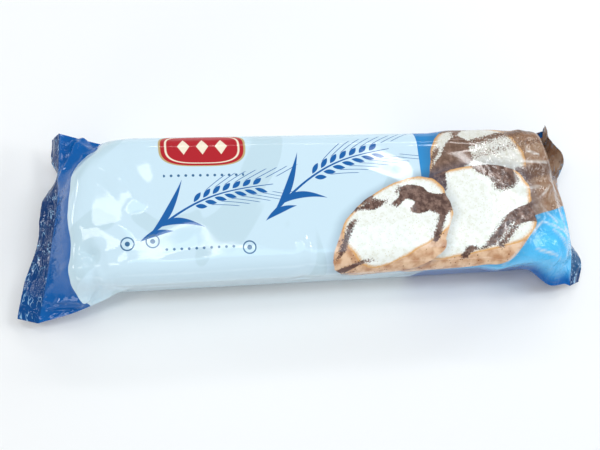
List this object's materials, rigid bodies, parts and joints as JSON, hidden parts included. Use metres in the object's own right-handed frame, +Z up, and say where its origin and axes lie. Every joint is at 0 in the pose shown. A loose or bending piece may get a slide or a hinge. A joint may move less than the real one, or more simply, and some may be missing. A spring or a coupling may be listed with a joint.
{
  "type": "flow-wrapped loaf cake pack",
  "caption": "Long loaf cake sealed in glossy printed flow wrap, lying on its back seam, with crimped end seals and creased film ends.",
  "frame": {"origin": "on the ground, under the middle of the pack's box", "axes": "+X along the pack towards the picture end of the print, +Y across it towards the top of the print, +Z up out of the front panel"},
  "size_m": [0.3624, 0.1124, 0.0536],
  "materials": {
    "printed_film": "glossy printed film, pale blue panel with strong blue ends"
  },
  "bodies": {
    "root": {"flow_wrap": "printed_film"}
  },
  "joints": []
}
